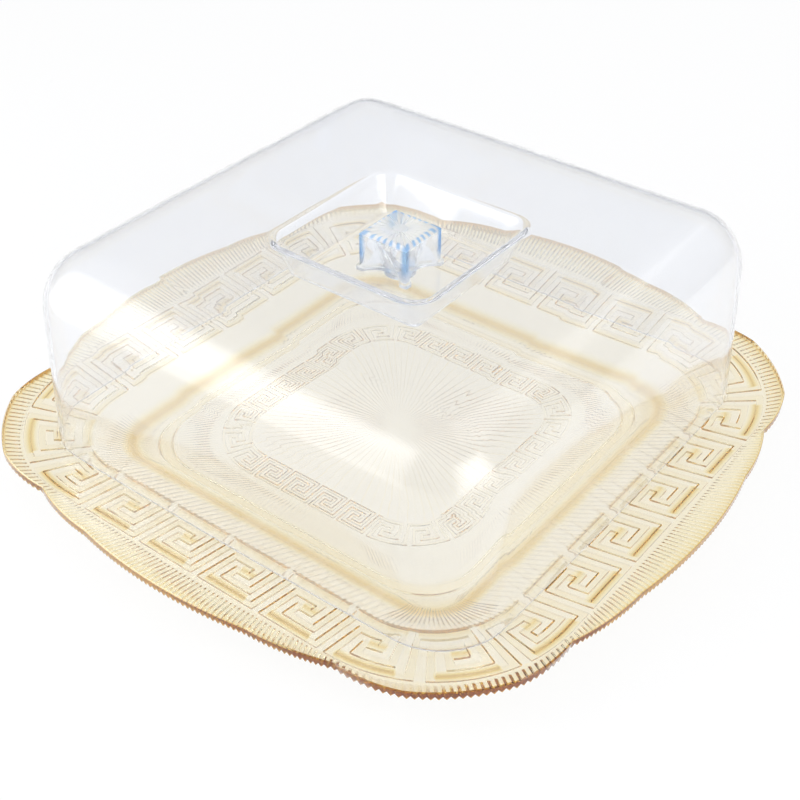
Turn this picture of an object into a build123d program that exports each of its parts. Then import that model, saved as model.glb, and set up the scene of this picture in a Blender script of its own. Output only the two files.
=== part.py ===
from build123d import *
from math import atan2, cos, degrees, hypot, pi, radians, sin, tan
import os

os.makedirs("parts", exist_ok=True)

# Tray. It is a dished rounded square, and all its lines turn their corners about the same four centres
tray_wall = 3.0
foot_height = 3.0
foot_half = 97.0
foot_corner = 32.0
foot_width = 4.0
floor_half = 106.0
corner_centre = 82.6
band_inner_half = 125.6
band_inner_rise = 9.8
band_width = 32.9
band_outer_rise = 15.6
flange_slope = 15.0
flange_reach = 40.0

# Scalloped edge: where its lobes meet on one side of the tray, and how far each lobe swells
side_lobe_meets = (172.5, 50.0)
second_lobe_meets = (162.5, 91.0)
corner_lobe_meets = (158.0, 124.0)
side_lobe_swell = 5.5
second_lobe_swell = 2.0
third_lobe_swell = 2.0
corner_lobe_swell = 3.0

# Relief under the tray
key_units = 28
key_depth = 1.2
flute_count = 280
flute_width = 1.8
flute_depth = 1.0
flute_margin = 1.6
relief_reach = 300.0

# Dome, and the level seat for its rim on the tray
seat_rise = 12.0
seat_clearance = 0.3
seat_margin = 0.6
seat_depth = 1.5
dome_half = 135.0
dome_corner = 34.0
dome_height = 103.3
dome_draft = 2.5
dome_bulge = 1.6
dome_wall = 2.0

# Well in the top of the dome
well_half = 45.5
well_corner = 11.0
well_depth = 19.5
well_inset = 8.0
well_lip_radius = 1.5

# Knob and what holds it
knob_half = 14.0
knob_height = 21.0
knob_bevel = 1.6
scoop_depth = 7.0
scoop_radius = 13.8
scoop_height = 16.0
base_half = 15.7
base_thickness = 1.8
base_tip_radius = 1.6
base_scoop_radius = 12.3
ray_count = 24
ray_width = 1.4
ray_depth = 0.6
ray_start = 3.6
stud_radius = 3.0
stud_clearance = 0.2
stud_tip = 1.0
retainer_radius = 8.0
retainer_thickness = 2.5
retainer_grip_clearance = 0.05
retainer_edge = 0.5

# Levels worked out from the sizes above
floor_top = foot_height + tray_wall
dome_base = floor_top + seat_rise
dome_top = dome_base + dome_height
well_floor = dome_top - well_depth
well_underside = well_floor - dome_wall
band_outer_half = band_inner_half + band_width

# Lines of the tray's top surface, from the floor out to past the scalloped edge: half width and height
tray_lines = (
    (floor_half, floor_top),
    (band_inner_half, floor_top + band_inner_rise),
    (band_outer_half, floor_top + band_outer_rise),
    (
        band_outer_half + flange_reach,
        floor_top + band_outer_rise + flange_reach * tan(radians(flange_slope)),
    ),
)

# One unit of the Greek key as a line of corners, in strokes along the band and out from its inner edge
key_line = (
    (0.5, 8.5),
    (0.5, 0.5),
    (8.5, 0.5),
    (8.5, 6.5),
    (4.5, 6.5),
    (4.5, 4.5),
    (6.5, 4.5),
    (6.5, 2.5),
    (2.5, 2.5),
    (2.5, 8.5),
)
key_unit_strokes = 10
key_band_strokes = 9


def dish(drop):
    """Quarter of the solid that fills the tray up to its top lines, lowered by drop."""
    with BuildPart() as filled:
        for inner_line, outer_line in zip(tray_lines, tray_lines[1:]):
            for half, height in (inner_line, outer_line):
                with BuildSketch(Plane.XY.offset(height - drop)):
                    RectangleRounded(2 * half, 2 * half, half - corner_centre)
            loft(ruled=True)
        with BuildSketch():
            Rectangle(relief_reach, relief_reach, align=(Align.MIN, Align.MIN))
        extrude(amount=relief_reach, mode=Mode.INTERSECT)
    return filled.part


def turned(point, quarter):
    """A plan point turned about the middle by whole quarter turns."""
    x, y = point
    for _ in range(quarter % 4):
        x, y = -y, x
    return (x, y)


def edge_corners(side):
    """Corners of one edge of the key's stroke, half a stroke to one side of its line."""
    before = (key_line[-1][0] - key_unit_strokes, key_line[-1][1])
    after = (key_line[0][0] + key_unit_strokes, key_line[0][1])
    line = (before,) + key_line + (after,)
    corners = []
    for last, here, following in zip(line, line[1:], line[2:]):
        arriving = hypot(here[0] - last[0], here[1] - last[1])
        leaving = hypot(following[0] - here[0], following[1] - here[1])
        turn_u = (here[0] - last[0]) / arriving + (following[0] - here[0]) / leaving
        turn_v = (here[1] - last[1]) / arriving + (following[1] - here[1]) / leaving
        corners.append((here[0] - side * turn_v / 2, here[1] + side * turn_u / 2))
    return corners


def key_band():
    """Plan of the key's stroke along a quarter of the band, in one unbroken line."""
    inner_corner = band_inner_half - corner_centre
    bend = pi / 2 * (inner_corner + band_width / 2)
    quarter_run = 2 * corner_centre + bend
    quarter_units = key_units // 4
    quarter_strokes = quarter_units * key_unit_strokes
    stroke_run = quarter_run / quarter_strokes
    stroke_out = band_width / key_band_strokes

    def place(run, out):
        """Plan point at a run from the middle of the right side and a distance out."""
        if run <= corner_centre:
            return (band_inner_half + out, run)
        if run >= corner_centre + bend:
            return (quarter_run - run, band_inner_half + out)
        angle = (run - corner_centre) / bend * pi / 2
        reach = inner_corner + out
        return (corner_centre + reach * cos(angle), corner_centre + reach * sin(angle))

    outer_edge = []
    inner_edge = []
    for unit in range(quarter_units):
        outer_edge += [(unit * key_unit_strokes + u, v) for u, v in edge_corners(1)]
        inner_edge += [(unit * key_unit_strokes + u, v) for u, v in edge_corners(-1)]
    far_end = [(quarter_strokes, key_band_strokes), (quarter_strokes, key_band_strokes - 1)]
    near_end = [(0, key_band_strokes)]
    outline = outer_edge + far_end + inner_edge[:0:-1] + near_end
    corners = [(u * stroke_run, v * stroke_out) for u, v in outline]
    bend_runs = (corner_centre, corner_centre + bend)
    with BuildSketch() as stroke:
        with BuildLine():
            for (run, out), (next_run, next_out) in zip(corners, corners[1:] + corners[:1]):
                low, high = sorted((run, next_run))
                bounds = [bound for bound in bend_runs if low < bound < high]
                stops = [run] + sorted(bounds, reverse=next_run < run) + [next_run]
                for start, end in zip(stops, stops[1:]):
                    middle = (start + end) / 2
                    if out == next_out and bend_runs[0] < middle < bend_runs[1]:
                        ThreePointArc(place(start, out), place(middle, out), place(end, out))
                    else:
                        Line(place(start, out), place(end, next_out))
        make_face()
    return stroke.sketch


def scalloped_outline():
    """Plan of the tray's edge: a wide lobe on each side and smaller ones round each corner."""
    side_x, side_y = side_lobe_meets
    second_x, second_y = second_lobe_meets
    corner_x, corner_y = corner_lobe_meets
    lobes = (
        ((side_x, -side_y), side_lobe_swell),
        ((side_x, side_y), second_lobe_swell),
        ((second_x, second_y), third_lobe_swell),
        ((corner_x, corner_y), corner_lobe_swell),
        ((corner_y, corner_x), third_lobe_swell),
        ((second_y, second_x), second_lobe_swell),
    )
    meets = [(turned(point, quarter), swell) for quarter in range(4) for point, swell in lobes]
    with BuildSketch() as outline:
        with BuildLine():
            for (start, swell), (end, _) in zip(meets, meets[1:] + meets[:1]):
                SagittaArc(start, end, -swell)
        make_face()
    return outline.sketch


def flute_plan():
    """Plan of a quarter's flutes: rays from the middle, under the tray's flange."""
    flange_start = band_outer_half + flute_margin
    flange_end = band_outer_half + flange_reach
    first_ray = 180 / flute_count
    with BuildSketch() as rays:
        with PolarLocations(flange_end, flute_count // 4, first_ray, 90, endpoint=False):
            Rectangle(flange_end, flute_width)
        RectangleRounded(
            2 * flange_start, 2 * flange_start, flange_start - corner_centre, mode=Mode.SUBTRACT
        )
    return rays.sketch


def under_relief(plan, depth):
    """Relief of one plan that stands out below the tray by a depth and follows its slope."""
    with BuildPart() as relief:
        with BuildSketch():
            add(plan)
        extrude(amount=relief_reach)
        add(dish(tray_wall + depth), mode=Mode.INTERSECT)
    return relief.part


def soft_square(half, corner, bulge):
    """Square outline whose sides swell by bulge to reach half, with rounded corners."""
    reach = half - bulge
    with BuildSketch() as outline:
        with BuildLine():
            for quarter in range(4):
                start = turned((reach, -reach), quarter)
                end = turned((reach, reach), quarter)
                ThreePointArc(start, turned((half, 0), quarter), end)
        make_face()
        fillet(outline.vertices(), corner)
    return outline.sketch


def seat_ring():
    """Plan of the seat: the dome's rim with a margin on both sides."""
    inset = dome_wall + seat_margin
    with BuildSketch() as ring:
        add(soft_square(dome_half + seat_margin, dome_corner + seat_margin, dome_bulge))
        add(soft_square(dome_half - inset, dome_corner - inset, dome_bulge), mode=Mode.SUBTRACT)
    return ring.sketch


# Tray: dished plate with the key and flutes below it, cut to the scalloped edge
underside = dish(tray_wall)
topside = dish(0)
band_relief = under_relief(key_band(), key_depth)
flute_relief = under_relief(flute_plan(), flute_depth)
edge_plan = scalloped_outline()
seat_plan = seat_ring()
seat_level = dome_base - seat_clearance

with BuildPart() as tray_quarter:
    add(underside)
    add(band_relief)
    add(flute_relief)
    add(topside, mode=Mode.SUBTRACT)
    with BuildSketch():
        add(edge_plan)
    extrude(amount=relief_reach, mode=Mode.INTERSECT)

# The foot ring is below, and the seat is above: a step in the slope that is level all round
with BuildPart() as tray:
    with PolarLocations(0, 4):
        add(tray_quarter.part)
    with BuildSketch():
        foot_inner = foot_half - foot_width
        RectangleRounded(2 * foot_half, 2 * foot_half, foot_corner)
        RectangleRounded(
            2 * foot_inner, 2 * foot_inner, foot_corner - foot_width, mode=Mode.SUBTRACT
        )
    extrude(amount=foot_height)
    with BuildSketch(Plane.XY.offset(seat_level)):
        add(seat_plan)
    extrude(amount=-seat_depth)
    with BuildSketch(Plane.XY.offset(seat_level)):
        add(seat_plan)
    extrude(amount=tray_wall, mode=Mode.SUBTRACT)
tray.part.label = "tray"
export_step(tray.part, "parts/tray.step")


def dome_block(inset):
    """Solid inside the dome's outline, drawn in from its sides and top by inset."""
    draft = radians(dome_draft)
    corner = dome_corner - inset
    height = dome_height - inset
    # The widest top edge that the corners can take: it rounds each corner of the top to a ball
    edge_radius = (corner * cos(draft) - height * sin(draft)) / (1 - sin(draft))
    with BuildPart() as block:
        with BuildSketch(Plane.XY.offset(dome_base)):
            add(soft_square(dome_half - inset, corner, dome_bulge))
        extrude(amount=height, taper=dome_draft)
        fillet(block.faces().sort_by(Axis.Z)[-1].edges(), edge_radius)
    return block.part


def well_block(outset):
    """Solid of the well, grown by outset on its sides and floor."""
    rim_size = 2 * (well_half + outset)
    well_slope = degrees(atan2(well_inset, well_depth))
    with BuildPart() as block:
        with BuildSketch(Plane.XY.offset(dome_top)):
            RectangleRounded(rim_size, rim_size, well_corner + outset)
        extrude(amount=-(well_depth + outset), taper=well_slope)
    return block.part


# Dome: thin shell with a drafted side, a wide rolled top edge and the well let into its top
outer_block = dome_block(0)
inner_block = dome_block(dome_wall)
well = well_block(0)
well_shell = well_block(dome_wall)

with BuildPart() as hollow:
    add(inner_block)
    add(well_shell, mode=Mode.SUBTRACT)

with BuildPart() as dome:
    add(outer_block)
    add(well, mode=Mode.SUBTRACT)
    lip = dome.faces().filter_by(Axis.Z).sort_by(Axis.Z)[-1].inner_wires()[0]
    fillet(lip.edges(), well_lip_radius)
    add(hollow.part, mode=Mode.SUBTRACT)
    with Locations((0, 0, well_floor)):
        Hole(stud_radius + stud_clearance, dome_wall)
dome.part.label = "dome"
export_step(dome.part, "parts/dome.step")

# Knob: square block with four scooped sides on a thin star-shaped base, rays on its top
scoop_centre = knob_half - scoop_depth + scoop_radius
scoop_slope = (scoop_centre - knob_half) / scoop_radius
scoop_tip = scoop_height / (1 - scoop_slope)

with BuildPart() as knob:
    with BuildSketch(Plane.XY.offset(well_floor)):
        Rectangle(2 * knob_half, 2 * knob_half)
    extrude(amount=knob_height)
    chamfer(knob.faces().sort_by(Axis.Z)[-1].edges(), knob_bevel)
    with PolarLocations(scoop_centre, 4):
        with Locations((0, 0, well_floor)):
            Cone(
                scoop_radius,
                0,
                scoop_tip,
                align=(Align.CENTER, Align.CENTER, Align.MIN),
                mode=Mode.SUBTRACT,
            )
    with BuildSketch(Plane.XY.offset(well_floor)) as base:
        Rectangle(2 * base_half, 2 * base_half)
        with PolarLocations(scoop_centre, 4):
            Circle(base_scoop_radius, mode=Mode.SUBTRACT)
        fillet(base.vertices(), base_tip_radius)
    extrude(amount=base_thickness)
    knob_top = well_floor + knob_height
    with BuildSketch(Plane.YZ.offset(ray_start)) as ray:
        with BuildLine():
            Polyline(
                (-ray_width / 2, knob_top),
                (ray_width / 2, knob_top),
                (0, knob_top - ray_depth),
                close=True,
            )
        make_face()
    ray_cut = extrude(amount=knob_half * 2, mode=Mode.PRIVATE)
    with PolarLocations(0, ray_count):
        add(ray_cut, mode=Mode.SUBTRACT)
    with BuildSketch(Plane.XY.offset(well_floor)):
        Circle(stud_radius)
    extrude(amount=-(dome_wall + retainer_thickness + stud_tip))
knob.part.label = "knob"
export_step(knob.part, "parts/knob.step")

# Push-on ring that grips the knob's stud under the well's floor
with BuildPart() as knob_retainer:
    with BuildSketch(Plane.XY.offset(well_underside)):
        Circle(retainer_radius)
        Circle(stud_radius + retainer_grip_clearance, mode=Mode.SUBTRACT)
    extrude(amount=-retainer_thickness)
    chamfer(knob_retainer.faces().sort_by(Axis.Z)[0].outer_wire().edges(), retainer_edge)
knob_retainer.part.label = "knob_retainer"
export_step(knob_retainer.part, "parts/knob_retainer.step")
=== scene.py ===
"""Cake stand with dome: a moulded amber tray, a clear dome with a well, and a cut crystal knob."""
from math import atan2, cos, floor, pi, radians, sin, tan

import bpy
import numpy as np
from mathutils import Matrix, Vector


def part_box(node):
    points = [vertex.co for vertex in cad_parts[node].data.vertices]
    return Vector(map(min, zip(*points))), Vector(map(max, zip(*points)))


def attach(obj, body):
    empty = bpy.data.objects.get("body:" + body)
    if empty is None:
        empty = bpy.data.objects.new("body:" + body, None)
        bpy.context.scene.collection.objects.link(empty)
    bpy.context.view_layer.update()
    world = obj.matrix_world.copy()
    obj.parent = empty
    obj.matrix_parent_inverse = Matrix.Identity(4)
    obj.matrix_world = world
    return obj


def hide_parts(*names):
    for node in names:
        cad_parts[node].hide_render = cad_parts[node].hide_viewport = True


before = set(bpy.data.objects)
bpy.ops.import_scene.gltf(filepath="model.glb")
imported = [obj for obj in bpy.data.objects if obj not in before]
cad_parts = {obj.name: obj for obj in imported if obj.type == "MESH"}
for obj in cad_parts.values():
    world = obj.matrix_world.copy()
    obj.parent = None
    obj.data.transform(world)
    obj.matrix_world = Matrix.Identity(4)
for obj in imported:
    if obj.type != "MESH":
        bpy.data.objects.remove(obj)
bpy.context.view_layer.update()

bl_info = {
    "name": "Cake Stand With Dome",
    "version": (1, 0, 0),
    "blender": (4, 5, 0),
    "location": "3D View > Sidebar > Cake Stand",
    "description": "Moulds a fluted tray with a key border, its dome and knob, and lights them",
    "category": "Object",
}

DOME_LOW, DOME_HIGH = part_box("dome")
KNOB_LOW, KNOB_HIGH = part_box("knob")


def length(name, description, default):
    """A length property in metres."""
    return bpy.props.FloatProperty(
        name=name, description=description, default=default, unit="LENGTH", subtype="DISTANCE",
        precision=5,
    )


def colour(name, description, default):
    """A colour property."""
    return bpy.props.FloatVectorProperty(
        name=name, description=description, default=default, size=3, subtype="COLOR",
        min=0.0, max=1.0,
    )


def amount(name, description, default, low=0.0):
    """A plain number property."""
    return bpy.props.FloatProperty(name=name, description=description, default=default, min=low)


class TraySizes(bpy.types.PropertyGroup):
    """Sizes of the tray."""

    wall: length("Wall", "Thickness of the tray, measured upright", 0.003)
    foot_height: length("Foot height", "Height of the ring it stands on", 0.003)
    foot_half: length("Foot half width", "Half width of the foot ring", 0.097)
    foot_width: length("Foot width", "Width of the foot ring", 0.004)
    floor_half: length("Floor half width", "Half width of the level floor", 0.106)
    corner_centre: length("Corner centre", "Distance of the corners' centres", 0.0826)
    bend_ease: length("Bend ease", "How far the bend at the floor's edge spreads each way", 0.005)
    band_half: length("Band half width", "Half width of the key band's inner line", 0.1256)
    band_width: length("Band width", "Width of the key band", 0.0329)
    band_inner_rise: length("Band inner rise", "Height of its inner line over the floor", 0.0098)
    band_outer_rise: length("Band outer rise", "Height of its outer line over the floor", 0.0156)
    band_crest: length("Band crest", "How far the bend at the band's inner line is raised", 0.00012)
    flange_slope: amount("Flange slope", "Slope of the fluted flange in degrees", 15.0)
    edge_bevel: length("Edge bevel", "Bevel round the scalloped edge", 0.0007)
    key_depth: length("Key depth", "How far the key stands out below the band", 0.0012)
    key_draft: length("Key draft", "Width of the slope on the key's edges", 0.0003)
    medallion_half: length("Medallion half width", "Half width of the small key ring", 0.062)
    medallion_centre: length("Medallion corner centre", "Distance of its corner centres", 0.0375)
    medallion_width: length("Medallion width", "Width of the small key ring", 0.0155)
    medallion_depth: length("Medallion depth", "How far the small key stands out", 0.0009)
    medallion_draft: length("Medallion draft", "Width of the slope on its edges", 0.00018)
    flute_depth: length("Flute depth", "Depth of the flutes under the flange", 0.001)
    tooth_depth: length("Tooth depth", "How far the flutes' ends hang at the rim", 0.0020)
    rib_depth: length("Rib depth", "Depth of the fine rays under the wall", 0.0004)
    ray_depth: length("Ray depth", "Depth of the sunburst under the floor", 0.0004)
    seat_gap: length("Seat gap", "Clearance between the dome's rim and its seat", 0.0003)
    seat_margin: length("Seat margin", "How far the seat reaches past the dome's wall", 0.0006)
    seat_step: length("Seat step", "Width of the slope beside the seat", 0.0005)


class DomeSizes(bpy.types.PropertyGroup):
    """Sizes of the dome."""

    half: length("Half width", "Half width of the rim", 0.135)
    corner: length("Corner radius", "Radius of the rim's corners", 0.034)
    bulge: length("Bulge", "How far the sides swell", 0.0016)
    wall: length("Wall", "Thickness of the dome", 0.002)
    draft: amount("Draft", "Lean of the sides in degrees", 2.5)
    rim_round: length("Rim round", "Rounding of the bottom edge", 0.0005)
    well_half: length("Well half width", "Half width of the well's mouth", 0.0455)
    well_corner: length("Well corner", "Radius of the well's corners at its mouth", 0.011)
    well_depth: length("Well depth", "Depth of the well", 0.0195)
    well_inset: length("Well inset", "How far its sides lean in", 0.008)
    well_lip: length("Well lip", "Rounding of the well's mouth", 0.0024)
    well_round: length("Well round", "Rounding where its sides meet its floor", 0.0012)
    stud_hole: length("Stud hole", "Radius of the hole for the knob's stud", 0.0032)


class Finishes(bpy.types.PropertyGroup):
    """Colours of the plastics and the stage."""

    amber: colour("Amber", "Colour that the tray's plastic absorbs least", (0.86, 0.69, 0.11))
    amber_density: amount("Amber density", "How fast the tray's colour deepens", 75.0)
    clear: colour("Clear", "Faint tint of the dome", (0.965, 0.975, 1.0))
    crystal: colour("Crystal", "Tint of the knob", (0.97, 0.985, 1.0))
    # Colour of the painted reflection along the knob's corners and cut edges
    blue: colour("Blue edge", "Tint of the knob's cut edges", (0.20, 0.46, 0.88))
    backdrop: colour("Backdrop", "Colour of the floor and what is round it", (0.95, 0.95, 0.95))


class StageSetup(bpy.types.PropertyGroup):
    """Camera and lamps."""

    camera_place: bpy.props.FloatVectorProperty(
        name="Camera place", description="Where the camera stands",
        default=(0.3485, -0.4531, 0.4538), size=3, subtype="TRANSLATION",
    )
    camera_yaw: amount("Camera yaw", "Turn of the view about the upright axis", 37.5519, -360.0)
    camera_pitch: amount("Camera pitch", "How far the view looks down", 37.2082, -90.0)
    camera_roll: amount("Camera roll", "Tilt of the view", 0.2187, -90.0)
    lens: amount("Lens", "Focal length in millimetres on a 36 mm sensor", 61.84)
    softbox_light: amount("Softbox", "Radiance of the softboxes", 3.4)
    fill_light: amount("Fill", "Radiance of the overhead fill", 0.5)


# Geometry helpers


def only(piece):
    """Make one object the only selected and active one."""
    for other in bpy.context.selected_objects:
        other.select_set(False)
    piece.select_set(True)
    bpy.context.view_layer.objects.active = piece


def line_point(turn, half, centre, middle):
    """Plan point on a rounded square line, at a share of the way round from its right middle.

    The points are spaced as on the line of half width middle that has the same corner centres.
    """
    quarter = floor(turn * 4)
    bend = pi / 2 * (middle - centre)
    run = (turn * 4 - quarter) * (2 * centre + bend)
    if run <= centre:
        x, y = half, run
    elif run >= centre + bend:
        x, y = 2 * centre + bend - run, half
    else:
        angle = (run - centre) / bend * pi / 2
        x, y = centre + (half - centre) * cos(angle), centre + (half - centre) * sin(angle)
    for _ in range(quarter % 4):
        x, y = -y, x
    return x, y


def soft_point(turn, half, corner, bulge):
    """Plan point on a rounded square line whose sides swell a little."""
    x, y = line_point(turn, half, half - corner, half)
    reach = half - bulge
    return (
        x - bulge * min(abs(y) / reach, 1.0) ** 2 * x / half,
        y - bulge * min(abs(x) / reach, 1.0) ** 2 * y / half,
    )


def round_plan(columns, point, *sizes):
    """Plan points all the way round a line."""
    return np.array([point(column / columns, *sizes) for column in range(columns)])


def raised(plan, height):
    """Plan points at one height, or at a height each."""
    return np.column_stack([plan, np.broadcast_to(height, len(plan))])


def line_half(plan, centre):
    """Half widths of the lines through plan points, among lines with the same corner centres."""
    x, y = abs(plan[:, 0]), abs(plan[:, 1])
    rounded = centre + np.hypot(x - centre, y - centre)
    return np.where((x > centre) & (y > centre), rounded, np.maximum(x, y))


def swept_shell(name, rows, columns, closed=False):
    """Mesh through rows of points that each go once round; closed joins the last to the first."""
    if closed:
        rows = rows + [rows[0]]
    bpy.ops.mesh.primitive_grid_add(x_subdivisions=columns, y_subdivisions=len(rows) - 1, size=1)
    piece = bpy.context.object
    piece.name = name
    piece.data.name = name
    table = np.array(rows)
    points = np.concatenate([table, table[:, :1]], axis=1).reshape(-1, 3)
    if len(points) != len(piece.data.vertices):
        raise RuntimeError(f"{name}: {len(points)} points for {len(piece.data.vertices)} vertices")
    piece.data.vertices.foreach_set("co", points.ravel())
    piece.data.update()
    return piece


def merge_seams(piece):
    """Join the seam and the poles, and point all faces outwards."""
    only(piece)
    bpy.ops.object.mode_set(mode="EDIT")
    bpy.ops.mesh.select_all(action="SELECT")
    bpy.ops.mesh.remove_doubles(threshold=1e-6)
    bpy.ops.mesh.dissolve_degenerate(threshold=1e-7)
    bpy.ops.mesh.select_all(action="SELECT")
    bpy.ops.mesh.normals_make_consistent(inside=False)
    bpy.ops.mesh.select_all(action="DESELECT")
    bpy.ops.object.mode_set(mode="OBJECT")


def smooth(piece, degrees):
    """Shade smooth, with edges sharper than a limit left crisp."""
    only(piece)
    bpy.ops.object.shade_smooth_by_angle(angle=radians(degrees))


# Materials


class Bench:
    """A node tree, with short ways to add to it."""

    def __init__(self, tree):
        """Start from an empty tree."""
        self.nodes = tree.nodes
        self.links = tree.links
        self.nodes.clear()

    def put(self, socket, given):
        """Set a socket to a plain value, or link another node's output to it."""
        if isinstance(given, bpy.types.NodeSocket):
            self.links.new(given, socket)
        elif socket.type == "RGBA":
            socket.default_value = (*given, 1.0)
        else:
            socket.default_value = given

    def add(self, kind, inputs=(), **settings):
        """New node with its settings, and its inputs given by name or number."""
        node = self.nodes.new(kind)
        for name, value in settings.items():
            setattr(node, name, value)
        for name, given in dict(inputs).items():
            self.put(node.inputs[name], given)
        return node

    def place(self):
        """Object coordinates."""
        return self.add("ShaderNodeTexCoord").outputs["Object"]

    def parts(self, vector):
        """The three parts of a vector."""
        return self.add("ShaderNodeSeparateXYZ", {"Vector": vector}).outputs

    def maths(self, operation, *inputs):
        """Result of a maths node on numbers and other nodes' outputs."""
        return self.add("ShaderNodeMath", enumerate(inputs), operation=operation).outputs["Value"]

    def fade(self, value, low, high, start=0.0, end=1.0):
        """Value turned from low..high to start..end."""
        return self.add("ShaderNodeMapRange", {
            "Value": value, "From Min": low, "From Max": high, "To Min": start, "To Max": end,
        }).outputs["Result"]

    def tones(self, value, steps):
        """Colour that runs through tones at their places."""
        node = self.add("ShaderNodeValToRGB", {"Fac": value})
        marks = node.color_ramp.elements
        for mark, (place, tone) in zip(marks, (steps[0], steps[-1])):
            mark.position = place
            mark.color = (*tone, 1.0)
        for place, tone in steps[1:-1]:
            marks.new(place).color = (*tone, 1.0)
        return node.outputs["Color"]

    def blend(self, share, first, second):
        """Mix of two shaders."""
        node = self.add("ShaderNodeMixShader", {0: share, 1: first, 2: second})
        return node.outputs["Shader"]


def new_material(name):
    """New material and the bench of its empty node tree."""
    material = bpy.data.materials.new(name)
    material.use_nodes = True
    return material, Bench(material.node_tree)


SURFACE_INPUTS = (
    ("Ripple Scale", 30.0), ("Ripple Height", 0.1), ("Haze", 0.02), ("Scuffs", 0.02),
    ("Base Roughness", 0.02),
)
RIPPLE_DISTANCE = 0.001
HAZE_SCALE = 14.0
SCUFF_SCALE = 90.0
SCUFF_STRETCH = (1.0, 0.12, 1.0)
SCUFF_TURN = (0.0, 0.0, 0.6)
SCUFF_WIDTH = 0.015


def moulded_surface():
    """Group of moulded plastic's faint ripple, its haze and its fine scuffs."""
    name = "moulded_surface"
    if name in bpy.data.node_groups:
        return bpy.data.node_groups[name]
    group = bpy.data.node_groups.new(name, "ShaderNodeTree")
    for label, default in SURFACE_INPUTS:
        socket = group.interface.new_socket(
            name=label, in_out="INPUT", socket_type="NodeSocketFloat"
        )
        socket.default_value = default
    for label, kind in (("Roughness", "NodeSocketFloat"), ("Normal", "NodeSocketVector")):
        group.interface.new_socket(name=label, in_out="OUTPUT", socket_type=kind)
    bench = Bench(group)
    given = bench.add("NodeGroupInput").outputs
    place = bench.place()
    ripple = bench.add("ShaderNodeTexNoise", {
        "Vector": place, "Scale": given["Ripple Scale"], "Detail": 1.0,
    })
    bump = bench.add("ShaderNodeBump", {
        "Strength": given["Ripple Height"], "Distance": RIPPLE_DISTANCE,
        "Height": ripple.outputs["Fac"],
    })
    haze = bench.add("ShaderNodeTexNoise", {
        "Vector": place, "Scale": HAZE_SCALE, "Detail": 4.0,
    }).outputs["Fac"]
    stretch = bench.add("ShaderNodeMapping", {
        "Vector": place, "Rotation": SCUFF_TURN, "Scale": SCUFF_STRETCH,
    })
    cells = bench.add("ShaderNodeTexVoronoi", feature="DISTANCE_TO_EDGE")
    bench.put(cells.inputs["Vector"], stretch.outputs["Vector"])
    bench.put(cells.inputs["Scale"], SCUFF_SCALE)
    scuffs = bench.fade(cells.outputs["Distance"], 0.0, SCUFF_WIDTH, 1.0, 0.0)
    hazy = bench.maths("MULTIPLY_ADD", haze, given["Haze"], given["Base Roughness"])
    roughness = bench.maths("MULTIPLY_ADD", scuffs, given["Scuffs"], hazy)
    bench.add("NodeGroupOutput", {"Roughness": roughness, "Normal": bump.outputs["Normal"]})
    return group


COAT_IOR = 1.7
TRAPPED_BOUNCES = 2.5
PAINTED_GLOW_STRENGTH = 0.8


def plastic(
    name, tint, ior, surface, absorb=None, shadow=(0.9, 0.9, 0.9), gloss=(0.8, 0.04),
    glow=(0.93, 0.95, 1.0), clearness=1.0, colour_node=None, roughness_node=None,
):
    """Clear plastic, which lets light through to its shadow.

    surface holds the moulded surface's inputs, gloss the coat's weight and roughness, and absorb
    the volume's colour and density.
    """
    material, bench = new_material(name)
    finish = bench.add("ShaderNodeGroup", node_tree=moulded_surface())
    for label, value in surface.items():
        bench.put(finish.inputs[label], value)
    roughness = finish.outputs["Roughness"]
    if roughness_node is not None:
        roughness = roughness_node(bench, roughness)
    shader = bench.add("ShaderNodeBsdfPrincipled", {
        "Base Color": tint, "IOR": ior, "Transmission Weight": clearness, "Metallic": 0.0,
        "Coat Weight": gloss[0], "Coat Roughness": gloss[1], "Coat IOR": COAT_IOR,
        "Roughness": roughness, "Normal": finish.outputs["Normal"],
    })
    if colour_node is not None:
        bench.put(shader.inputs["Base Color"], colour_node(bench))
    path = bench.add("ShaderNodeLightPath").outputs
    passing = bench.add("ShaderNodeBsdfTransparent", {"Color": shadow})
    body = bench.blend(path["Is Shadow Ray"], shader.outputs["BSDF"], passing.outputs["BSDF"])
    # Painted glow: where light has been caught inside the plastic for long, a pale emission stands
    # in for the light that would come out again
    trapped = bench.maths("GREATER_THAN", path["Glossy Depth"], TRAPPED_BOUNCES)
    painted_glow = bench.add("ShaderNodeEmission", {"Color": glow, "Strength": PAINTED_GLOW_STRENGTH})
    whole = bench.blend(trapped, body, painted_glow.outputs["Emission"])
    output = bench.add("ShaderNodeOutputMaterial", {"Surface": whole})
    if absorb is not None:
        volume = bench.add("ShaderNodeVolumeAbsorption", {"Color": absorb[0], "Density": absorb[1]})
        bench.put(output.inputs["Volume"], volume.outputs["Volume"])
    return material


# Knob's painted bluish reflections, and its frosted top: half widths, heights and depths in metres
# between which each fades in
POST_HALF = (0.0104, 0.0124)
POST_HEIGHT = (0.008, 0.014)
EDGE_HALF = (0.0108, 0.0122)
EDGE_DEPTH = (0.0026, 0.0012)
FROST_DEPTH = (0.0032, 0.0012)
FROST_ROUGHNESS = 0.42
FACETS_ROUND = 24.0
FACET_FADE = (-0.5, 0.8)


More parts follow.
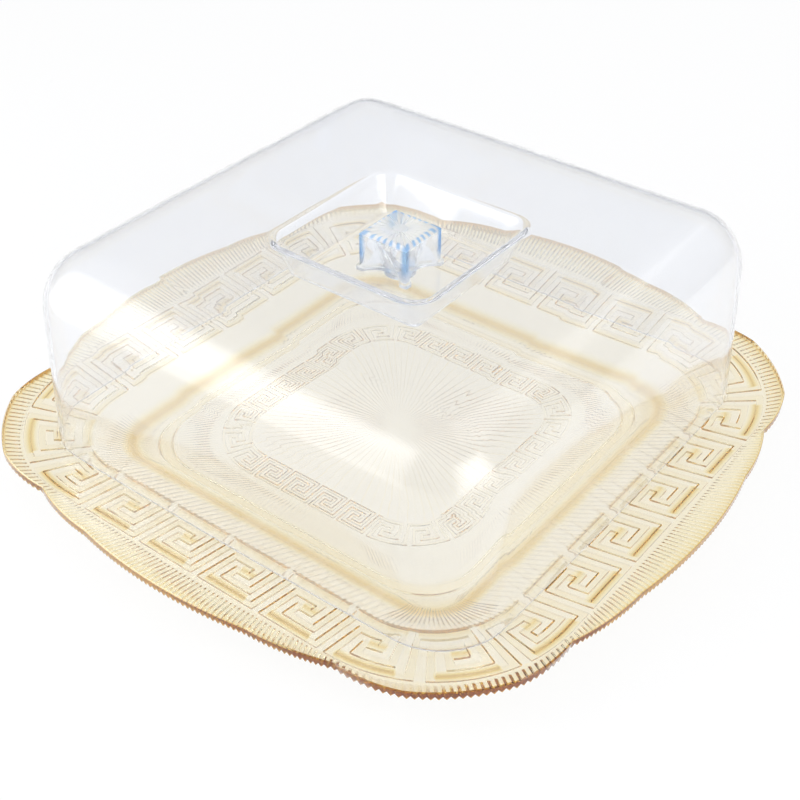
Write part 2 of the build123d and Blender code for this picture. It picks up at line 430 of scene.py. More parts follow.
def painted_bluish_reflection(bench):
    """Colour that turns bluish along the knob's upright corners and its top edges, a painted
    reflection.
    """
    finish = bpy.context.scene.stand_finishes
    parts = bench.parts(bench.place())
    across = bench.maths("ABSOLUTE", parts["X"])
    along = bench.maths("ABSOLUTE", parts["Y"])
    posts = bench.fade(bench.maths("MINIMUM", across, along), *POST_HALF)
    height = bench.fade(parts["Z"], *(KNOB_LOW.z + rise for rise in POST_HEIGHT))
    upright = bench.maths("MULTIPLY", posts, height)
    side = bench.fade(bench.maths("MAXIMUM", across, along), *EDGE_HALF)
    top = bench.fade(parts["Z"], *(KNOB_HIGH.z - depth for depth in EDGE_DEPTH))
    angle = bench.maths("ARCTAN2", parts["Y"], parts["X"])
    wave = bench.maths("SINE", bench.maths("MULTIPLY", angle, FACETS_ROUND))
    facets = bench.fade(wave, *FACET_FADE)
    edge = bench.maths("MULTIPLY", bench.maths("MULTIPLY", side, top), facets)
    mix = bench.add("ShaderNodeMix", data_type="RGBA")
    # A colour mix has its share at input 0, its colours at 6 and 7 and its result at output 2
    bench.put(mix.inputs[0], bench.maths("MAXIMUM", upright, edge))
    bench.put(mix.inputs[6], finish.crystal)
    bench.put(mix.inputs[7], finish.blue)
    return mix.outputs[2]


def frosted_top(bench, roughness):
    """Roughness that rises on the knob's cut top, where the fine rays scatter light."""
    height = bench.parts(bench.place())["Z"]
    low, high = (KNOB_HIGH.z - depth for depth in FROST_DEPTH)
    return bench.maths("ADD", bench.fade(height, low, high, 0.0, FROST_ROUGHNESS), roughness)


# Attribute of the painted light and shade on the amber, and the tones it runs through: the plain
# pale plastic, a painted golden glow and painted brown shade
LIGHT_AND_SHADE = "amber_stain"
AMBER_GLOW_AND_SHADE_TONES = (
    (0.0, (1.0, 0.985, 0.955)), (0.3, (0.97, 0.90, 0.66)), (0.6, (0.86, 0.66, 0.24)),
    (1.0, (0.40, 0.14, 0.006)),
)


def amber_with_painted_light(bench):
    """Colour of the amber plastic: pale, with a painted golden glow where it bends and painted
    brown shade where light is caught.
    """
    painted_mark = bench.add("ShaderNodeAttribute", attribute_name=LIGHT_AND_SHADE)
    return bench.tones(painted_mark.outputs["Fac"], AMBER_GLOW_AND_SHADE_TONES)


FLOOR_WHITENESS = 0.88


def floor_material():
    """Pale floor that is white to the camera and through glass, and keeps a faint shadow."""
    finish = bpy.context.scene.stand_finishes
    material, bench = new_material("pale_floor")
    matt = bench.add("ShaderNodeBsdfDiffuse", {"Color": finish.backdrop}).outputs["BSDF"]
    glow = bench.add("ShaderNodeEmission", {"Color": (1.0, 1.0, 1.0), "Strength": 1.0})
    path = bench.add("ShaderNodeLightPath").outputs
    seen = bench.maths("MAXIMUM", path["Is Camera Ray"], path["Is Glossy Ray"])
    seen = bench.maths("MAXIMUM", seen, path["Is Transmission Ray"])
    share = bench.maths("MULTIPLY", seen, FLOOR_WHITENESS)
    whole = bench.blend(share, matt, glow.outputs["Emission"])
    bench.add("ShaderNodeOutputMaterial", {"Surface": whole})
    return material


# Tray


# Lobes of the scalloped edge on a quarter turn: where each starts, and how far it swells
LOBES = (
    ((0.1725, -0.050), 0.0055), ((0.1725, 0.050), 0.0020), ((0.1625, 0.091), 0.0020),
    ((0.158, 0.124), 0.0030), ((0.124, 0.158), 0.0020), ((0.091, 0.1625), 0.0020),
)
LOBE_STEPS = 24

KEY_UNITS = 28
KEY_UNIT_STROKES = 10
KEY_ROWS = 9
KEY_CORNERS = (
    (0, 8), (0, 0), (8, 0), (8, 6), (4, 6), (4, 4), (6, 4), (6, 2), (2, 2), (2, 8), (9, 8),
)
COLUMNS_PER_STROKE = 3
COLUMNS_PER_UNIT = KEY_UNIT_STROKES * COLUMNS_PER_STROKE
COLUMNS_PER_FLUTE = 2
COLUMNS_PER_RAY = 10
TRAY_COLUMNS = KEY_UNITS * COLUMNS_PER_UNIT

# Places of the rows that only carry relief or shading, with the share of the relief at each
SUNBURST_LINES = (
    (0.003, 0.0), (0.006, 1.0), (0.012, 1.0), (0.024, 1.0), (0.040, 1.0), (0.057, 1.0),
    (0.060, 0.0),
)
RIBS_PAST_MEDALLION = ((0.0015, 0.0), (0.003, 0.6), (0.006, 1.0))
RIBS_INSIDE_FOOT = (0.0035, 1.0)
RIBS_OUTSIDE_FOOT = (0.003, 0.8)
RIBS_UP_WALL = ((0.009, 1.0), (0.0155, 1.0), (0.018, 0.5))
FLUTES_ALONG_FLANGE = ((0.04, 0.0), (0.12, 0.8), (0.3, 1.0), (0.6, 1.0), (0.9, 1.1))
FLANGE_TOP_LINES = (0.9, 0.6, 0.3, 0.06)
BAND_END_STRIP = 0.002
CREST_STRIP = 0.0016
WALL_TOP_RUN = 0.011
FLOOR_OUTER_LINE = 0.09
FLOOR_INNER_LINES = (0.04, 0.02, 0.005)
BEND_STEPS = 5


def scalloped_edge():
    """Angles and distances from the middle of the tray's edge, once round and closed."""
    meets = []
    for quarter in range(4):
        for (x, y), swell in LOBES:
            for _ in range(quarter):
                x, y = -y, x
            meets.append((Vector((x, y)), swell))
    points = []
    for (start, swell), (end, _) in zip(meets, meets[1:] + meets[:1]):
        chord = end - start
        outward = Vector((chord.y, -chord.x)).normalized()
        radius = ((chord.length / 2) ** 2 + swell**2) / (2 * swell)
        centre = (start + end) / 2 - outward * (radius - swell)
        for step in range(LOBE_STEPS):
            ray = (start.lerp(end, step / LOBE_STEPS) - centre).normalized()
            points.append(centre + ray * radius)
    angles = np.unwrap([atan2(point.y, point.x) for point in points])
    reaches = [point.length for point in points]
    return np.append(angles, angles[0] + 2 * pi), np.append(reaches, reaches[0])


def edge_reach(plan, edge):
    """Distance of the scalloped edge from the middle, in the direction of each plan point."""
    angles, reaches = edge
    angle = np.arctan2(plan[:, 1], plan[:, 0])
    angle = np.where(angle < angles[0], angle + 2 * pi, angle)
    return np.interp(angle, angles, reaches)


def key_cells():
    """Cells of one key unit that its stroke covers, along the band and out from its inner edge."""
    cells = set()
    for (u, v), (next_u, next_v) in zip(KEY_CORNERS, KEY_CORNERS[1:]):
        steps = max(abs(next_u - u), abs(next_v - v))
        for step in range(steps + 1):
            cells.add((u + (next_u - u) * step // steps, v + (next_v - v) * step // steps))
    return cells


class TraySection:
    """Rows of points from the middle of the tray's underside round its edge to its top.

    ring_start, key_start and top_start are the first rows of the small key ring, of the key band
    and of the top.
    """

    def __init__(self):
        """Work out the lines that the rows follow, then lay the rows."""
        scene = bpy.context.scene
        self.tray = tray = scene.stand_tray
        self.dome = scene.stand_dome
        self.rows = []
        self.low = tray.foot_height
        self.high = tray.foot_height + tray.wall
        self.ring_middle = tray.medallion_half + tray.medallion_width / 2
        self.ring_outer = tray.medallion_half + tray.medallion_width
        self.band_middle = tray.band_half + tray.band_width / 2
        self.band_outer = tray.band_half + tray.band_width
        self.wall_slope = tray.band_inner_rise / (tray.band_half - tray.floor_half)
        self.edge = scalloped_edge()
        self.flange_start = self.band_plan(self.band_outer)
        self.outward = self.flange_start / np.linalg.norm(self.flange_start, axis=1)[:, None]
        self.rim_reach = edge_reach(self.flange_start, self.edge)[:, None]
        self.lay_underside()
        self.lay_flange()
        self.lay_top()

    def band_plan(self, half):
        """Plan points on a line whose corners have the key band's centres."""
        centre = self.tray.corner_centre
        return round_plan(TRAY_COLUMNS, line_point, half, centre, self.band_middle)

    def top_height(self, half):
        """Height of the tray's top surface, up to the band's outer line."""
        tray = self.tray
        halves = (tray.floor_half, tray.band_half, self.band_outer)
        rises = (0.0, tray.band_inner_rise, tray.band_outer_rise)
        return self.high + np.interp(half, halves, rises)

    def lay(self, plan, height, ridge=0.0, period=COLUMNS_PER_STROKE):
        """Lay a row, with a rib of depth ridge below it in each period between grooves."""
        place = np.arange(TRAY_COLUMNS) % period / period
        self.rows.append(raised(plan, height - ridge * np.sqrt(np.sin(pi * place))))

    def lay_line(self, half, height, ridge=0.0):
        """Lay a row on a line whose corners have the key band's centres."""
        self.lay(self.band_plan(half), height, ridge)

    def lay_ring_line(self, half, height, ridge=0.0):
        """Lay a row at the small key ring or inside it, where the corners shrink to the middle."""
        share = min(half / self.tray.medallion_half, 1.0)
        centre = self.tray.medallion_centre * share
        plan = round_plan(TRAY_COLUMNS, line_point, half, centre, self.ring_middle * share)
        self.lay(plan, height, ridge, COLUMNS_PER_RAY)

    def lay_floor_line(self, half, height, ridge=0.0):
        """Lay a row outside the small key ring, where the corners turn into the key band's."""
        tray = self.tray
        share = (half - self.ring_outer) / (tray.floor_half - self.ring_outer)
        centre = tray.medallion_centre + (tray.corner_centre - tray.medallion_centre) * share
        ring_bend = self.ring_middle - tray.medallion_centre
        band_bend = self.band_middle - tray.corner_centre
        middle = centre + ring_bend + (band_bend - ring_bend) * share
        self.lay(round_plan(TRAY_COLUMNS, line_point, half, centre, middle), height, ridge)

    def lay_bend(self, base, steps, ridge=0.0):
        """Lay rows round the eased bend at the floor's edge."""
        ease = self.tray.bend_ease
        for step in steps:
            share = step / BEND_STEPS
            half = self.tray.floor_half + ease * (2 * share - 1)
            self.lay_line(half, base + self.wall_slope * ease * share**2, ridge)

    def lay_flange_line(self, share, drop, ridge=0.0, draw_in=0.0):
        """Lay a row at a share of the flange's width, a drop below its top, with its flutes."""
        tray = self.tray
        rim = self.outward * (self.rim_reach - draw_in)
        plan = self.flange_start + (rim - self.flange_start) * share
        out = line_half(plan, tray.corner_centre) - self.band_outer
        top = self.high + tray.band_outer_rise + out * tan(radians(tray.flange_slope))
        rib = np.arange(TRAY_COLUMNS) % COLUMNS_PER_FLUTE > 0
        self.rows.append(raised(plan, top - drop - ridge * rib))

    def lay_seat_line(self, out, height=None):
        """Lay a row beside the dome's outline, at a height or on the band."""
        dome = self.dome
        plan = round_plan(
            TRAY_COLUMNS, soft_point, dome.half + out, dome.corner + out, dome.bulge
        )
        if height is None:
            height = self.top_height(line_half(plan, self.tray.corner_centre))
        self.rows.append(raised(plan, height))

    def lay_middle(self, height):
        """Lay the row that closes the section at the middle."""
        self.rows.append(np.tile((0.0, 0.0, height), (TRAY_COLUMNS, 1)))

    def lay_underside(self):
        """Lay the floor with its sunburst and small key ring, the foot, the wall and the band."""
        tray, low = self.tray, self.low
        self.lay_middle(low)
        for half, part in SUNBURST_LINES:
            self.lay_ring_line(half, low, part * tray.ray_depth * half / tray.medallion_half)
        self.ring_start = len(self.rows)
        for step in range(KEY_ROWS + 1):
            self.lay_ring_line(tray.medallion_half + tray.medallion_width * step / KEY_ROWS, low)
        for out, part in RIBS_PAST_MEDALLION:
            self.lay_floor_line(self.ring_outer + out, low, part * tray.rib_depth)
        self.lay_foot()
        self.lay_bend(low, range(BEND_STEPS + 1), tray.rib_depth)
        for run, part in RIBS_UP_WALL:
            height = low + run * self.wall_slope
            self.lay_line(tray.floor_half + run, height, part * tray.rib_depth)
        self.key_start = len(self.rows)
        for step in range(KEY_ROWS + 1):
            half = tray.band_half + tray.band_width * step / KEY_ROWS
            self.lay_line(half, self.top_height(half) - tray.wall)

    def lay_foot(self):
        """Lay the foot ring, rounded above and below, between the last ribs beside it."""
        tray, low = self.tray, self.low
        inner = tray.foot_half - tray.foot_width
        # How far into the ring each row of its side lies, and at which height
        side = (
            (-0.0015, low), (-0.0004, low - 0.0002), (0.0, low - 0.0008), (0.0002, 0.0004),
            (0.0006, 0.0),
        )
        out, part = RIBS_INSIDE_FOOT
        self.lay_floor_line(inner - out, low, part * tray.rib_depth)
        for into, height in side:
            self.lay_floor_line(inner + into, height)
        for into, height in reversed(side):
            self.lay_floor_line(tray.foot_half - into, height)
        out, part = RIBS_OUTSIDE_FOOT
        self.lay_floor_line(tray.foot_half + out, low, part * tray.rib_depth)

    def lay_flange(self):
        """Lay the flange's fluted underside and its upright edge."""
        tray = self.tray
        for share, part in FLUTES_ALONG_FLANGE:
            self.lay_flange_line(share, tray.wall, part * tray.flute_depth)
        self.lay_flange_line(1.0, tray.wall, tray.tooth_depth, tray.edge_bevel)
        self.lay_flange_line(1.0, tray.wall - tray.edge_bevel, tray.tooth_depth)
        self.lay_flange_line(1.0, tray.edge_bevel)

    def lay_top(self):
        """Lay the flange's top, the band with the dome's level seat, the wall and the floor."""
        tray, high = self.tray, self.high
        self.top_start = len(self.rows)
        self.lay_flange_line(1.0, 0.0, draw_in=tray.edge_bevel)
        for share in FLANGE_TOP_LINES:
            self.lay_flange_line(share, 0.0)
        for half in (self.band_outer, self.band_outer - BAND_END_STRIP):
            self.lay_line(half, self.top_height(half))
        level = DOME_LOW.z - tray.seat_gap
        inward = self.dome.wall + tray.seat_margin
        self.lay_seat_line(tray.seat_margin + tray.seat_step)
        self.lay_seat_line(tray.seat_margin, level)
        self.lay_seat_line(-inward, level)
        self.lay_seat_line(-inward - tray.seat_step)
        for half, lift in (
            (tray.band_half + CREST_STRIP, 0.0), (tray.band_half, tray.band_crest),
            (tray.band_half - CREST_STRIP, 0.0), (tray.floor_half + WALL_TOP_RUN, 0.0),
        ):
            self.lay_line(half, self.top_height(half) + lift)
        self.lay_bend(high, range(BEND_STEPS, -1, -1))
        self.lay_floor_line(FLOOR_OUTER_LINE, high)
        for half in (self.ring_outer, tray.medallion_half, *FLOOR_INNER_LINES):
            self.lay_ring_line(half, high)
        self.lay_middle(high)


# Painted light and shade in the amber: a painted glow in the bend at the floor's edge, painted
# shade in the rays, and a faint even deepening over the key rings
BEND_PAINTED_GLOW = 0.66
BEND_INWARD = 0.001
BEND_FULL = 1.1
BEND_FADE = 0.0056
RAY_PAINTED_SHADE = 0.34
UNDERSIDE_DEEPENING = 0.06
# Painted shade in the flange's grooves and on its ribs, and at the rim
GROOVE_PAINTED_SHADE = 0.12
GROOVE_END_PAINTED_SHADE = 0.4
RIB_PAINTED_SHADE = 0.05
FLANGE_FADE = 0.012
RIM_WIDTH = 0.0003
RIM_PAINTED_SHADE = 0.3
RIM_FADE = 0.02
# Dashes of painted shade and glow beside the key's strokes: row of the band, first and last column
# in strokes, and depth
KEY_PAINTED_DASHES = ((8, 3, 9, 0.85), (4, 5, 7, 0.6), (0, 0.4, 8.8, 0.55))


def painted_light_values(section):
    """How deep the colour is at each point: a painted glow where the moulding bends, painted shade
    in the rays, the flutes, at the rim and beside the key's strokes, and a faint even deepening on
    the underside.
    """
    tray = section.tray
    columns = np.arange(TRAY_COLUMNS)
    groove = columns % COLUMNS_PER_FLUTE == 0
    ray = columns % COLUMNS_PER_RAY == 0
    # Each ray has its own strength, in an order that looks uneven and never changes
    strength = 0.4 + 0.6 * (columns * 7 % 13) / 12
    values = np.zeros((len(section.rows), TRAY_COLUMNS))
    for index, row in enumerate(section.rows):
        half = line_half(row, tray.corner_centre)
        inward = edge_reach(row, section.edge) - np.hypot(row[:, 0], row[:, 1])
        bend = BEND_FULL - abs(half - tray.floor_half + BEND_INWARD) / BEND_FADE
        values[index] = BEND_PAINTED_GLOW * np.clip(bend, 0, 1)
        if 0 < index < section.ring_start:
            values[index] += ray * strength * RAY_PAINTED_SHADE
        elif index < section.key_start:
            values[index] += UNDERSIDE_DEEPENING
        if index < section.top_start:
            out = np.clip((half - section.band_outer) / FLANGE_FADE, 0, 1)
            flutes = np.where(groove, GROOVE_PAINTED_SHADE + GROOVE_END_PAINTED_SHADE * out, RIB_PAINTED_SHADE)
            values[index] += flutes * (out > 0)
            fade = np.clip(RIM_PAINTED_SHADE - inward / RIM_FADE, 0, 1)
            values[index] += np.where(inward < RIM_WIDTH, 1.0, fade)
    stroke = columns % COLUMNS_PER_UNIT / COLUMNS_PER_STROKE
    for line, first, last, value in KEY_PAINTED_DASHES:
        dash = (stroke >= first) & (stroke <= last)
        values[section.key_start + line] = np.where(dash, value, UNDERSIDE_DEEPENING)
    return np.clip(values, 0, 1)


RING_MARK = 1
KEY_MARK = 2
TRAY_CRISP_ANGLE = 38


def key_marks(section):
    """Mark of each face: whether a stroke of the small key or of the large one covers it."""
    cells = key_cells()
    marks = np.zeros((len(section.rows) - 1, TRAY_COLUMNS), np.int32)
    for first, mark in ((section.ring_start, RING_MARK), (section.key_start, KEY_MARK)):
        for column in range(TRAY_COLUMNS):
            u = column % COLUMNS_PER_UNIT // COLUMNS_PER_STROKE
            for v in range(KEY_ROWS):
                if (u, v) in cells:
                    marks[first + v, column] = mark
    return marks


def raise_cells(piece, mark, depth, draft):
    """Raise the faces that carry a mark, with sloped edges."""
    marks = np.zeros(len(piece.data.polygons), np.int32)
    piece.data.polygons.foreach_get("material_index", marks)
    only(piece)
    bpy.ops.object.mode_set(mode="EDIT")
    bpy.ops.mesh.select_mode(type="FACE")
    bpy.ops.mesh.select_all(action="DESELECT")
    bpy.ops.object.mode_set(mode="OBJECT")
    piece.data.polygons.foreach_set("select", marks == mark)
    bpy.ops.object.mode_set(mode="EDIT")
    bpy.ops.mesh.inset(thickness=draft, depth=depth, use_boundary=True, use_even_offset=True)
    bpy.ops.object.mode_set(mode="OBJECT")


def amber_plastic():
    """Material of the tray."""
    finish = bpy.context.scene.stand_finishes
    surface = {
        "Ripple Scale": 22.0, "Ripple Height": 0.12, "Haze": 0.03, "Scuffs": 0.02,
        "Base Roughness": 0.0,
    }
    return plastic(
        "amber_plastic_moulded", AMBER_GLOW_AND_SHADE_TONES[0][1], 1.26, surface,
        absorb=(finish.amber, finish.amber_density), shadow=(0.98, 0.94, 0.85),
        glow=(0.72, 0.47, 0.16), colour_node=amber_with_painted_light,
    )


class OBJECT_OT_stand_tray(bpy.types.Operator):
    """Mould the tray: smooth above, with the key, medallion, rays and flutes below."""

    bl_idname = "object.stand_tray"
    bl_label = "Mould Tray"

    def execute(self, context):
        """Sweep the section round, raise the key's strokes and finish the surface."""
        tray = context.scene.stand_tray
        section = TraySection()
        piece = swept_shell("tray_dish", section.rows, TRAY_COLUMNS)
        # The painted glow and shade are kept on the points as an attribute
        values = painted_light_values(section)
        values = np.concatenate([values, values[:, :1]], axis=1)
        piece.data.attributes.new(LIGHT_AND_SHADE, "FLOAT", "POINT").data.foreach_set("value", values.ravel())
        # The faces' marks are kept as material numbers while the mesh is edited
        slots = piece.data.materials
        material = amber_plastic()
        for _ in (0, RING_MARK, KEY_MARK):
            slots.append(material)
        piece.data.polygons.foreach_set("material_index", key_marks(section).ravel())
        merge_seams(piece)
        raise_cells(piece, RING_MARK, tray.medallion_depth, tray.medallion_draft)
        raise_cells(piece, KEY_MARK, tray.key_depth, tray.key_draft)
        unmarked = np.zeros(len(piece.data.polygons), np.int32)
        piece.data.polygons.foreach_set("material_index", unmarked)
        while len(slots) > 1:
            slots.pop(index=len(slots) - 1)
        smooth(piece, TRAY_CRISP_ANGLE)
        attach(piece, "tray")
        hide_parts("tray")
        return {"FINISHED"}


# Dome

DOME_COLUMNS = 256
DOME_CRISP_ANGLE = 35
SIDE_LINES = (0.04, 0.35, 0.65, 0.96)
ROLL_STEPS = 20
LIP_STEPS = 6
WELL_ROUND_STEPS = 5
# Width of the flat strip beside a bend, and the least radius of the well's corners
FLAT_STRIP = 0.001
LEAST_CORNER = 0.0005
# Half widths and corner centres of the lines on the well's floor, on the way to the stud's hole
WELL_FLOOR_LINES = ((0.02, 0.012), (0.006, 0.0))


class DomeSkin:
    """Rows of one skin of the dome, from its rim to the hole in its well."""

    def __init__(self, inset):
        """Lay the skin that lies an inset inside the outer one."""
        self.dome = dome = bpy.context.scene.stand_dome
        self.inset = inset
        self.rows = []
        self.centre = dome.half - dome.corner
        self.corner = dome.corner - inset
        self.top = DOME_HIGH.z - inset
        self.lay_side()
        self.lay_well()

    def lay_soft(self, out, height):
        """Lay a row that lies out from the corners' centres, on sides that swell."""
        bulge = self.dome.bulge * min(max(out, 0.0) / self.corner, 1.0)
        plan = round_plan(DOME_COLUMNS, soft_point, self.centre + out, out, bulge)
        self.rows.append(raised(plan, height))

    def lay_plain(self, half, centre, height):
        """Lay a row on a plain rounded square."""
        plan = round_plan(DOME_COLUMNS, line_point, half, centre, half)
        self.rows.append(raised(plan, height))

    def lay_side(self):
        """Lay the rounded rim, the leaning side and the roll into the top."""
        base, rim, corner = DOME_LOW.z, self.dome.rim_round, self.corner
        draft = radians(self.dome.draft)
        inward = rim if self.inset == 0 else -rim
        self.lay_soft(corner - inward, base)
        self.lay_soft(corner - inward * 0.3, base + rim * 0.3)
        self.lay_soft(corner - rim * tan(draft), base + rim)
        height = self.top - base
        roll = (corner * cos(draft) - height * sin(draft)) / (1 - sin(draft))
        side_top = self.top - roll + roll * sin(draft)
        for share in SIDE_LINES:
            z = base + rim + (side_top - base - rim) * share
            self.lay_soft(corner - (z - base) * tan(draft), z)
        for step in range(ROLL_STEPS + 1):
            angle = (pi / 2 - draft) * (1 - step / ROLL_STEPS)
            self.lay_soft(roll * sin(angle), self.top - roll + roll * cos(angle))

    def lay_well(self):
        """Lay the top, the well's rounded mouth, its leaning side and its floor."""
        dome, inset, top = self.dome, self.inset, self.top
        inner_wall = dome.wall if inset > 0 else 0.0
        lip = dome.well_lip + inner_wall
        ease = dome.well_round + inner_wall
        slope = dome.well_inset / dome.well_depth
        bend = pi / 2 - atan2(dome.well_inset, dome.well_depth)
        lip_drop = lip * (1 - cos(bend))
        lip_reach = lip * tan(bend / 2)
        mouth = dome.well_half + inset - inset * slope
        centre = dome.well_half - dome.well_corner
        self.lay_plain(self.centre - FLAT_STRIP, self.centre - FLAT_STRIP, top)
        self.lay_plain(mouth + lip_reach + FLAT_STRIP, centre, top)
        for step in range(LIP_STEPS + 1):
            angle = bend * step / LIP_STEPS
            half = mouth + lip_reach - lip * sin(angle)
            self.lay_plain(half, centre, top - lip * (1 - cos(angle)))
        low = DOME_HIGH.z - dome.well_depth - inset
        ease_rise = ease * (1 - cos(bend))
        for share in (0.1, 0.9):
            z = top - lip_drop + (low + ease_rise - top + lip_drop) * share
            self.lay_plain(dome.well_half + inset - (DOME_HIGH.z - z) * slope, centre, z)
        floor_half = dome.well_half + inset - (dome.well_depth + inset) * slope
        flat = floor_half - ease * tan(bend / 2)
        for step in range(WELL_ROUND_STEPS, -1, -1):
            angle = bend * step / WELL_ROUND_STEPS
            half = flat + ease * sin(angle)
            self.lay_plain(half, min(centre, half - LEAST_CORNER), low + ease * (1 - cos(angle)))
        half = flat - FLAT_STRIP
        self.lay_plain(half, min(centre, half - LEAST_CORNER), low)
        for half, line_centre in (*WELL_FLOOR_LINES, (dome.stud_hole, 0.0)):
            self.lay_plain(half, line_centre, low)


def clear_plastic():
    """Material of the dome."""
    surface = {
        "Ripple Scale": 9.0, "Ripple Height": 0.05, "Haze": 0.04, "Scuffs": 0.02,
        "Base Roughness": 0.0,
    }
    return plastic(
        "clear_plastic_moulded", bpy.context.scene.stand_finishes.clear, 1.3, surface,
        shadow=(0.93, 0.94, 0.95), gloss=(1.0, 0.2), clearness=0.93,
    )


class OBJECT_OT_stand_dome(bpy.types.Operator):
    """Mould the dome: a clear shell with a rolled top edge and a well for the knob."""

    bl_idname = "object.stand_dome"
    bl_label = "Mould Dome"

    def execute(self, context):
        """Sweep the outer and inner skins round as one closed shell."""
        outer = DomeSkin(0.0).rows
        inner = DomeSkin(context.scene.stand_dome.wall).rows
        piece = swept_shell("dome_shell", outer + inner[::-1], DOME_COLUMNS, closed=True)
        merge_seams(piece)
        smooth(piece, DOME_CRISP_ANGLE)
        piece.data.materials.append(clear_plastic())
        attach(piece, "dome")
        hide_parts("dome")
        return {"FINISHED"}


# Knob


class OBJECT_OT_stand_knob(bpy.types.Operator):
    """Give the knob and its retainer their crystal finish."""

    bl_idname = "object.stand_knob"
    bl_label = "Finish Knob"

    def execute(self, context):
        """Assign the crystal materials to the knob and its retainer."""
        tint = context.scene.stand_finishes.crystal
        surface = {
            "Ripple Scale": 60.0, "Ripple Height": 0.03, "Haze": 0.01, "Scuffs": 0.01,
            "Base Roughness": 0.0,
        }
        # The cut knob carries the painted bluish reflections and the frosted top
        cut = plastic(
            "crystal_cut", tint, 1.2, surface,
            clearness=0.82, colour_node=painted_bluish_reflection, roughness_node=frosted_top,
        )
        plain = plastic("crystal_plain", tint, 1.2, surface)
        for name, material in (("knob", cut), ("knob_retainer", plain)):
            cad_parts[name].material_slots[0].material = material
        return {"FINISHED"}


# Stage

SKY_TONES = ((0.05, (0.62, 0.63, 0.65)), (0.75, (0.72, 0.74, 0.78)))
# Lamps: name, place, what each faces, width and height, its light in the setup, and its panels
LAMPS = (
    ("left_softbox", (-0.42, -0.50, 0.40), (0, 0, 0.40), (0.74, 0.90), "softbox_light", 4),
    ("right_softbox", (0.99, -0.14, 0.50), (0, 0, 0.50), (1.2, 1.0), "softbox_light", 4),
    ("overhead", (0.5, 0.9, 1.7), (0, 0, 0), (1.4, 1.4), "fill_light", 1),
)
PANEL_SHRINK = 0.2
PANEL_GAP = 0.004
GROUND_SIZE = 12


def lay_ground():
    """Lay the floor."""
    bpy.ops.mesh.primitive_plane_add(size=GROUND_SIZE)
    ground = bpy.context.object
    ground.name = "floor"
    ground.data.materials.append(floor_material())


def hang_surroundings(scene):
    """Surround the scene with white to the camera and a pale grey to the object."""
    world = bpy.data.worlds.new("pale_surroundings")
    scene.world = world
    world.use_nodes = True
    bench = Bench(world.node_tree)
    aim = bench.add("ShaderNodeTexCoord").outputs["Generated"]
    sky = bench.tones(bench.parts(aim)["Z"], SKY_TONES)
    felt = bench.add("ShaderNodeBackground", {"Color": sky})
    seen = bench.add("ShaderNodeBackground", {"Color": (1.0, 1.0, 1.0)})
    path = bench.add("ShaderNodeLightPath").outputs
    whole = bench.blend(
        path["Is Camera Ray"], felt.outputs["Background"], seen.outputs["Background"]
    )
    bench.add("ShaderNodeOutputWorld", {"Surface": whole})


def hang_lamps(scene):
    """Hang the lamps, each of panels one in front of the other, so that its edge fades."""
    for name, place, target, (width, height), light, panels in LAMPS:
        aim = Vector(target) - Vector(place)
        radiance = getattr(scene.stand_stage, light)
        for panel in range(panels):
            part = 1 - PANEL_SHRINK * panel
            lamp = bpy.data.lights.new(f"{name}_{panel}", "AREA")
            lamp.shape = "RECTANGLE"
            lamp.size = width * part
            lamp.size_y = height * part
            lamp.energy = radiance / panels * pi * lamp.size * lamp.size_y
            holder = bpy.data.objects.new(lamp.name, lamp)
            scene.collection.objects.link(holder)
            holder.location = Vector(place) + aim * PANEL_GAP * panel
            holder.rotation_euler = aim.to_track_quat("-Z", "Y").to_euler()
            holder.visible_camera = False
            holder.visible_transmission = False


def place_camera(scene):
    """Place the camera at the photograph's viewing angle."""
    setup = scene.stand_stage
    yaw = radians(setup.camera_yaw)
    pitch = radians(setup.camera_pitch)
    roll = radians(setup.camera_roll)
    back = Vector((sin(yaw) * cos(pitch), -cos(yaw) * cos(pitch), sin(pitch)))
    right = Vector((cos(yaw), sin(yaw), 0.0))
    up = back.cross(right)
    rolled_right = cos(roll) * right + sin(roll) * up
    rolled_up = cos(roll) * up - sin(roll) * right
    view = bpy.data.cameras.new("camera")
    view.lens = setup.lens
    view.sensor_width = 36.0
    view.sensor_fit = "HORIZONTAL"
    camera = bpy.data.objects.new("camera", view)
    scene.collection.objects.link(camera)
    turn = Matrix((rolled_right, rolled_up, back)).transposed().to_4x4()
    camera.matrix_world = Matrix.Translation(setup.camera_place) @ turn
    scene.camera = camera


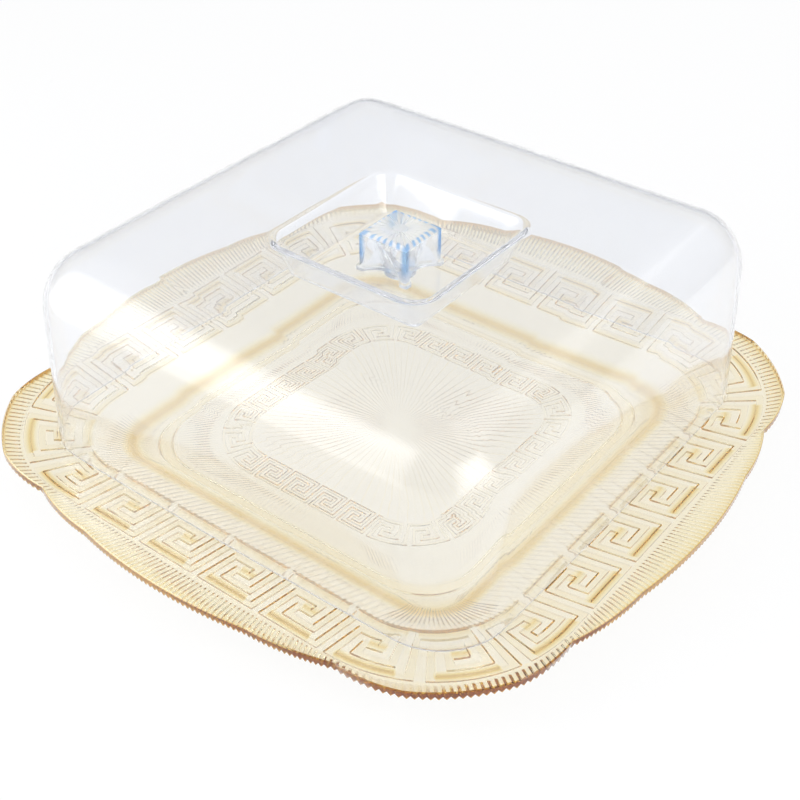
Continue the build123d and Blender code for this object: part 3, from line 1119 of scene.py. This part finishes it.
class OBJECT_OT_stand_stage(bpy.types.Operator):
    """Set up the floor, the surroundings, the lamps and the camera."""

    bl_idname = "object.stand_stage"
    bl_label = "Set Stage"

    def execute(self, context):
        """Make the floor, the world, the lamps and the camera."""
        scene = context.scene
        scene.view_settings.view_transform = "Standard"
        lay_ground()
        hang_surroundings(scene)
        hang_lamps(scene)
        place_camera(scene)
        return {"FINISHED"}


class VIEW3D_PT_stand(bpy.types.Panel):
    """Sidebar panel with the stand's operators and sizes."""

    bl_label = "Cake Stand"
    bl_idname = "VIEW3D_PT_stand"
    bl_space_type = "VIEW_3D"
    bl_region_type = "UI"
    bl_category = "Cake Stand"

    def draw(self, context):
        """List the operators and their properties."""
        for operator in PIECE_OPERATORS:
            self.layout.operator(operator.bl_idname)
        for name, group in GROUPS:
            box = self.layout.box()
            for size in group.__annotations__:
                box.prop(getattr(context.scene, name), size)


PIECE_OPERATORS = (
    OBJECT_OT_stand_stage,
    OBJECT_OT_stand_tray,
    OBJECT_OT_stand_dome,
    OBJECT_OT_stand_knob,
)
GROUPS = (
    ("stand_tray", TraySizes),
    ("stand_dome", DomeSizes),
    ("stand_finishes", Finishes),
    ("stand_stage", StageSetup),
)


def register():
    """Register the groups, operators and panel."""
    for name, group in GROUPS:
        bpy.utils.register_class(group)
        setattr(bpy.types.Scene, name, bpy.props.PointerProperty(type=group))
    for operator in PIECE_OPERATORS:
        bpy.utils.register_class(operator)
    bpy.utils.register_class(VIEW3D_PT_stand)


def unregister():
    """Take the panel, operators and groups away again."""
    bpy.utils.unregister_class(VIEW3D_PT_stand)
    for operator in reversed(PIECE_OPERATORS):
        bpy.utils.unregister_class(operator)
    for name, group in reversed(GROUPS):
        delattr(bpy.types.Scene, name)
        bpy.utils.unregister_class(group)


def main():
    """Make the whole object and its stage."""
    register()
    bpy.ops.object.stand_stage()
    bpy.ops.object.stand_tray()
    bpy.ops.object.stand_dome()
    bpy.ops.object.stand_knob()


if __name__ == "__main__":
    main()
